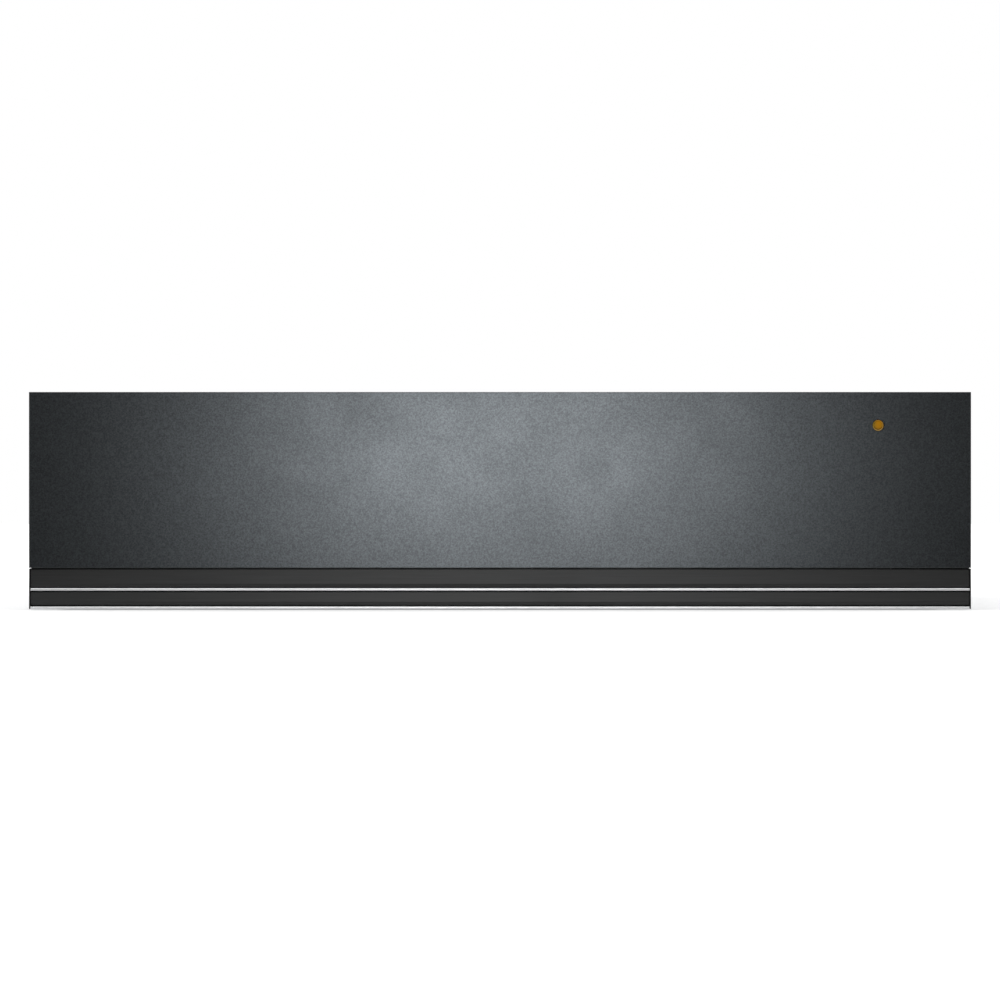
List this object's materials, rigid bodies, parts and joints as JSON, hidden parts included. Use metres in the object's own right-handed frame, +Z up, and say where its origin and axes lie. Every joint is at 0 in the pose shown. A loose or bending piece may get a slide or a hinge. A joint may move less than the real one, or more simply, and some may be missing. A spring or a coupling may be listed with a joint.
{
  "type": "built-in warming drawer",
  "caption": "Built-in warming drawer with a handleless dark glass front, push-to-open full-extension rails, a heated glass floor and an amber operating light.",
  "frame": {"origin": "under the middle of the whole object, on the surface that its feet stand on", "axes": "+X to the right seen from the front, +Y from the front to the back, +Z up"},
  "size_m": [0.59, 0.54, 0.1364],
  "materials": {
    "anthracite_glass": "metallic anthracite print behind satin-clear glass",
    "dark_anodised": "dark satin anodised",
    "polished_trim": "polished",
    "black_steel": "fine-texture black powder coat",
    "galvanised_steel": "galvanised sheet with soft spangle",
    "stainless_steel": "brushed stainless",
    "zinc_plated_steel": "bright zinc plate",
    "heated_glass": "dark toughened glass, satin",
    "amber_lens": "translucent amber",
    "clear_acrylic": "clear acrylic",
    "black_plastic": "moulded",
    "grey_plastic": "moulded",
    "rubber": "matt",
    "silicone_mat": "matt",
    "mineral_wool": "felted",
    "circuit_board": "solder-resist lacquer",
    "lead_sheath": "satin"
  },
  "bodies": {
    "housing": {"base_plate": "galvanised_steel", "side_panel_left": "galvanised_steel", "side_panel_right": "galvanised_steel", "rear_panel": "galvanised_steel", "top_cover": "galvanised_steel", "front_crossmember": "galvanised_steel", "cabinet_bracket_left": "galvanised_steel", "cabinet_bracket_right": "galvanised_steel", "foot_front_left": "rubber", "foot_front_right": "rubber", "foot_rear_left": "rubber", "foot_rear_right": "rubber", "mains_inlet": "black_plastic", "terminal_block": "grey_plastic", "inlet_cable": "lead_sheath", "supply_lead": "lead_sheath", "lead_clamp_housing": "grey_plastic", "latch_body": "grey_plastic", "latch_spring": "zinc_plated_steel", "rail_outer_left": "zinc_plated_steel", "rail_outer_right": "zinc_plated_steel"},
    "drawer": {"front_glass": "anthracite_glass", "bonding_tape": "rubber", "front_carrier": "black_steel", "trim_strip_upper": "dark_anodised", "trim_strip_lower": "dark_anodised", "bright_bar_upper": "polished_trim", "bright_bar_lower": "polished_trim", "end_cap_left": "black_steel", "end_cap_right": "black_steel", "indicator_lens": "amber_lens", "indicator_light_pipe": "clear_acrylic", "front_fixing_screw_1": "zinc_plated_steel", "front_fixing_screw_2": "zinc_plated_steel", "front_fixing_screw_3": "zinc_plated_steel", "front_fixing_screw_4": "zinc_plated_steel", "drawer_pan": "galvanised_steel", "tub": "stainless_steel", "glass_base": "heated_glass", "heater_mat": "silicone_mat", "insulation_mat": "mineral_wool", "thermal_cutout": "zinc_plated_steel", "temperature_sensor": "zinc_plated_steel", "control_fascia": "stainless_steel", "selector_switch": "black_plastic", "circuit_board": "circuit_board", "rail_inner_left": "zinc_plated_steel", "rail_inner_right": "zinc_plated_steel", "strike_plate": "zinc_plated_steel", "lead_connector_drawer": "grey_plastic", "drawer_wiring": "lead_sheath"},
    "middle_rail_left": {"rail_middle_left": "zinc_plated_steel"},
    "middle_rail_right": {"rail_middle_right": "zinc_plated_steel"},
    "outer_cage_left": {"ball_cage_outer_left": "stainless_steel"},
    "outer_cage_right": {"ball_cage_outer_right": "stainless_steel"},
    "inner_cage_left": {"ball_cage_inner_left": "stainless_steel"},
    "inner_cage_right": {"ball_cage_inner_right": "stainless_steel"},
    "plunger": {"latch_plunger": "black_plastic", "latch_magnet": "zinc_plated_steel"},
    "knob": {"selector_knob": "black_plastic"}
  },
  "joints": [
    {"name": "drawer_slide", "type": "slide", "parent": "housing", "child": "drawer", "axis": [0, -1, 0], "range_m": [-0.0025, 0.4], "deforming": ["supply_lead"]},
    {"name": "middle_rail_left_slide", "type": "slide", "parent": "housing", "child": "middle_rail_left", "axis": [0, -1, 0], "range_m": [-0.00125, 0.2]},
    {"name": "middle_rail_right_slide", "type": "slide", "parent": "housing", "child": "middle_rail_right", "axis": [0, -1, 0], "range_m": [-0.00125, 0.2]},
    {"name": "outer_cage_left_slide", "type": "slide", "parent": "housing", "child": "outer_cage_left", "axis": [0, -1, 0], "range_m": [-0.00063, 0.1]},
    {"name": "outer_cage_right_slide", "type": "slide", "parent": "housing", "child": "outer_cage_right", "axis": [0, -1, 0], "range_m": [-0.00063, 0.1]},
    {"name": "inner_cage_left_slide", "type": "slide", "parent": "housing", "child": "inner_cage_left", "axis": [0, -1, 0], "range_m": [-0.00187, 0.3]},
    {"name": "inner_cage_right_slide", "type": "slide", "parent": "housing", "child": "inner_cage_right", "axis": [0, -1, 0], "range_m": [-0.00187, 0.3]},
    {"name": "plunger_slide", "type": "slide", "parent": "housing", "child": "plunger", "axis": [0, -1, 0], "range_m": [-0.00013, 0.02], "deforming": ["latch_spring"]},
    {"name": "selector_turn", "type": "hinge", "parent": "drawer", "child": "knob", "pos_m": [0.212, -0.2408, 0.118], "axis": [0, 0, -1], "range_deg": [0, 200]}
  ],
  "couplings": [
    {"joint": "middle_rail_left_slide", "follows": "drawer_slide", "ratio": 0.5},
    {"joint": "middle_rail_right_slide", "follows": "drawer_slide", "ratio": 0.5},
    {"joint": "outer_cage_left_slide", "follows": "drawer_slide", "ratio": 0.25},
    {"joint": "outer_cage_right_slide", "follows": "drawer_slide", "ratio": 0.25},
    {"joint": "inner_cage_left_slide", "follows": "drawer_slide", "ratio": 0.75},
    {"joint": "inner_cage_right_slide", "follows": "drawer_slide", "ratio": 0.75},
    {"joint": "plunger_slide", "follows": "drawer_slide", "ratio": 0.05}
  ]
}
